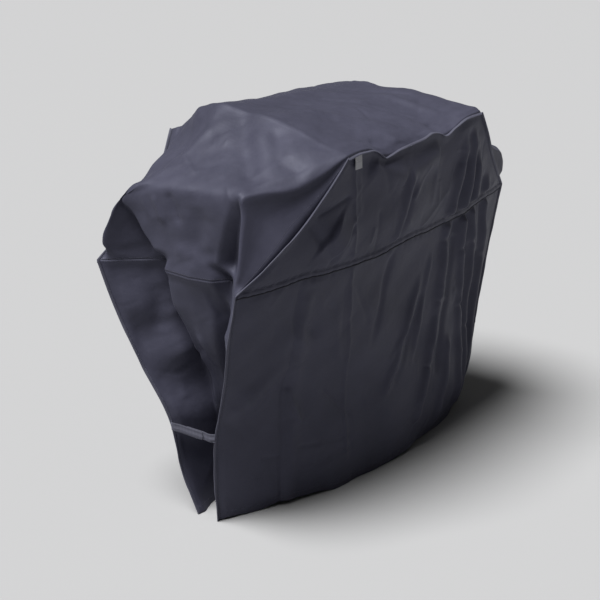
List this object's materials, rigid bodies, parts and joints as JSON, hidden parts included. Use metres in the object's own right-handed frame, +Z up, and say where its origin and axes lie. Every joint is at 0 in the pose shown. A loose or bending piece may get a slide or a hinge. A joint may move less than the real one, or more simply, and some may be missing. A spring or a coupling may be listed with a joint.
{
  "type": "grill cover",
  "caption": "Fabric cover for a cart grill with side shelves: a raised hood, sloping shoulders, folded ends held by hook-and-loop straps, and an open hem.",
  "frame": {"origin": "on the ground, under the middle of the cover", "axes": "+Z up, -Y the front, +X the right end seen from the back"},
  "size_m": [1.336, 0.622, 1.121],
  "materials": {
    "cover_cloth": "matte",
    "binding_tape": "matte",
    "seam_tape": "matte",
    "webbing": "matte",
    "hook_strip": "matte",
    "loop_strip": "matte",
    "woven_tag": "satin"
  },
  "bodies": {
    "cover": {"top_strip": "cover_cloth", "front_yoke": "cover_cloth", "front_skirt": "cover_cloth", "front_waist_tape": "seam_tape", "front_hood_seam_binding": "binding_tape", "front_left_seam_binding": "binding_tape", "front_right_seam_binding": "binding_tape", "rear_yoke": "cover_cloth", "rear_skirt": "cover_cloth", "rear_waist_tape": "seam_tape", "rear_hood_seam_binding": "binding_tape", "rear_left_seam_binding": "binding_tape", "rear_right_seam_binding": "binding_tape", "left_end_skirt": "cover_cloth", "left_waist_tape": "seam_tape", "right_end_skirt": "cover_cloth", "right_waist_tape": "seam_tape"},
    "left_hook_strap": {"left_hook_strap": "webbing", "left_hook_strip": "hook_strip"},
    "left_loop_strap": {"left_loop_strap": "webbing", "left_loop_strip": "loop_strip"},
    "right_hook_strap": {"right_hook_strap": "webbing", "right_hook_strip": "hook_strip"},
    "right_loop_strap": {"right_loop_strap": "webbing", "right_loop_strip": "loop_strip"},
    "brand_tag": {"brand_tag": "woven_tag"}
  },
  "joints": [
    {"name": "left_hook_strap_peel", "type": "hinge", "parent": "cover", "child": "left_hook_strap", "pos_m": [-0.61505, 0.0875, 0.275], "axis": [0, 0, -1], "range_deg": [0, 120]},
    {"name": "left_loop_strap_fold", "type": "hinge", "parent": "cover", "child": "left_loop_strap", "pos_m": [-0.61125, -0.0645, 0.275], "axis": [0, 0, -1], "range_deg": [0, 45]},
    {"name": "right_hook_strap_peel", "type": "hinge", "parent": "cover", "child": "right_hook_strap", "pos_m": [0.61505, 0.0285, 0.275], "axis": [0, 0, 1], "range_deg": [0, 120]},
    {"name": "right_loop_strap_fold", "type": "hinge", "parent": "cover", "child": "right_loop_strap", "pos_m": [0.61125, -0.1525, 0.275], "axis": [0, 0, 1], "range_deg": [0, 45]},
    {"name": "brand_tag_flap", "type": "hinge", "parent": "cover", "child": "brand_tag", "pos_m": [-0.29, -0.3078, 1.017], "axis": [-1, 0, 0], "range_deg": [0, 70]}
  ]
}
